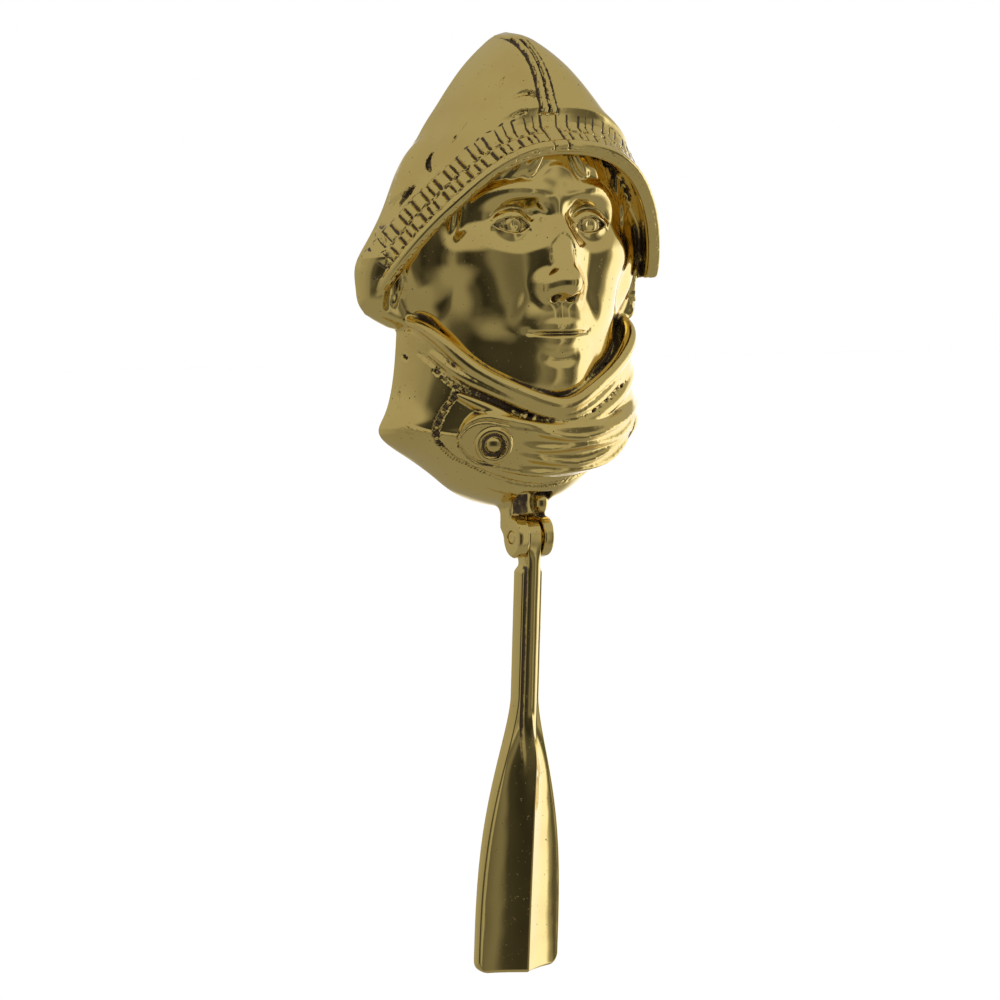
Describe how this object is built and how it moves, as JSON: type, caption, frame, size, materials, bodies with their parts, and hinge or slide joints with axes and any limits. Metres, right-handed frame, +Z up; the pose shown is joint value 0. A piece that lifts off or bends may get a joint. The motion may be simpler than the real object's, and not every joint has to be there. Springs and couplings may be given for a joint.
{
  "type": "door knocker",
  "caption": "Cast brass door knocker: half-relief head in a peaked cap and buttoned collar, with a hinged oar striker and threaded fixings behind.",
  "frame": {"origin": "on the door's front face, on the centre line, on the casting's flat rim just above the hinge", "axes": "+X to the viewer's right, +Y into the door, +Z up"},
  "size_m": [0.0834, 0.0681, 0.2161],
  "materials": {
    "brass": "mirror polished, with dark residue in the recesses",
    "steel": "bright zinc plated"
  },
  "bodies": {
    "mounted_head": {"head_casting": "brass", "hinge_pin": "brass", "upper_fixing_stud": "steel", "lower_fixing_stud": "steel", "upper_washer": "steel", "lower_washer": "steel", "upper_nut": "steel", "lower_nut": "steel"},
    "striker": {"oar_striker": "brass"}
  },
  "joints": [
    {"name": "striker_swing", "type": "hinge", "parent": "mounted_head", "child": "striker", "pos_m": [0, -0.0082, -0.009], "axis": [-1, 0, 0], "range_deg": [0, 120]}
  ]
}
